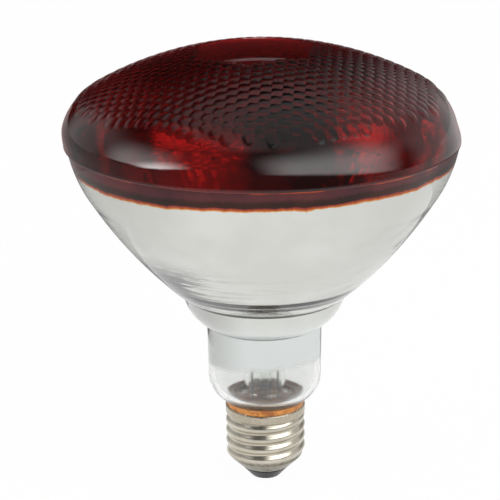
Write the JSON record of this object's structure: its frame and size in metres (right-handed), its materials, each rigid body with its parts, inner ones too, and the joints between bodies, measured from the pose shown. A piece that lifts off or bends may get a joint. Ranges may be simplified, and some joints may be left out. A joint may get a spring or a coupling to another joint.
{
  "type": "infrared heat lamp bulb",
  "caption": "Reflector lamp bulb for radiant heat: domed red lens with hexagonal stipple, mirrored bowl, clear glass neck and a nickel-plated E27 screw cap.",
  "frame": {"origin": "middle of the centre contact's underside, on the lamp's axis", "axes": "+Z along the lamp's axis from the centre contact to the lens; the stem's press is wide along X"},
  "size_m": [0.1236, 0.1236, 0.1453],
  "materials": {
    "red_lens_glass": "red lacquer on stippled glass, glossy",
    "mirrored_glass": "clear glass, aluminised inside",
    "clear_glass": "clear, glossy",
    "lead_wire": "drawn nickel wire",
    "tungsten": "coiled tungsten wire",
    "basing_cement": "matt orange-brown cement",
    "nickel_plate": "bright nickel plate on brass",
    "black_glass": "black glass, satin",
    "contact_brass": "pressed brass",
    "solder": "dull solder"
  },
  "bodies": {
    "root": {"lens": "red_lens_glass", "reflector": "mirrored_glass", "stem": "clear_glass", "exhaust_tube": "clear_glass", "lead_wire_contact": "lead_wire", "lead_wire_shell": "lead_wire", "filament": "tungsten", "filament_supports": "lead_wire", "cement": "basing_cement", "cap_shell": "nickel_plate", "cap_insulator": "black_glass", "centre_contact": "contact_brass", "centre_solder": "solder"}
  },
  "joints": []
}
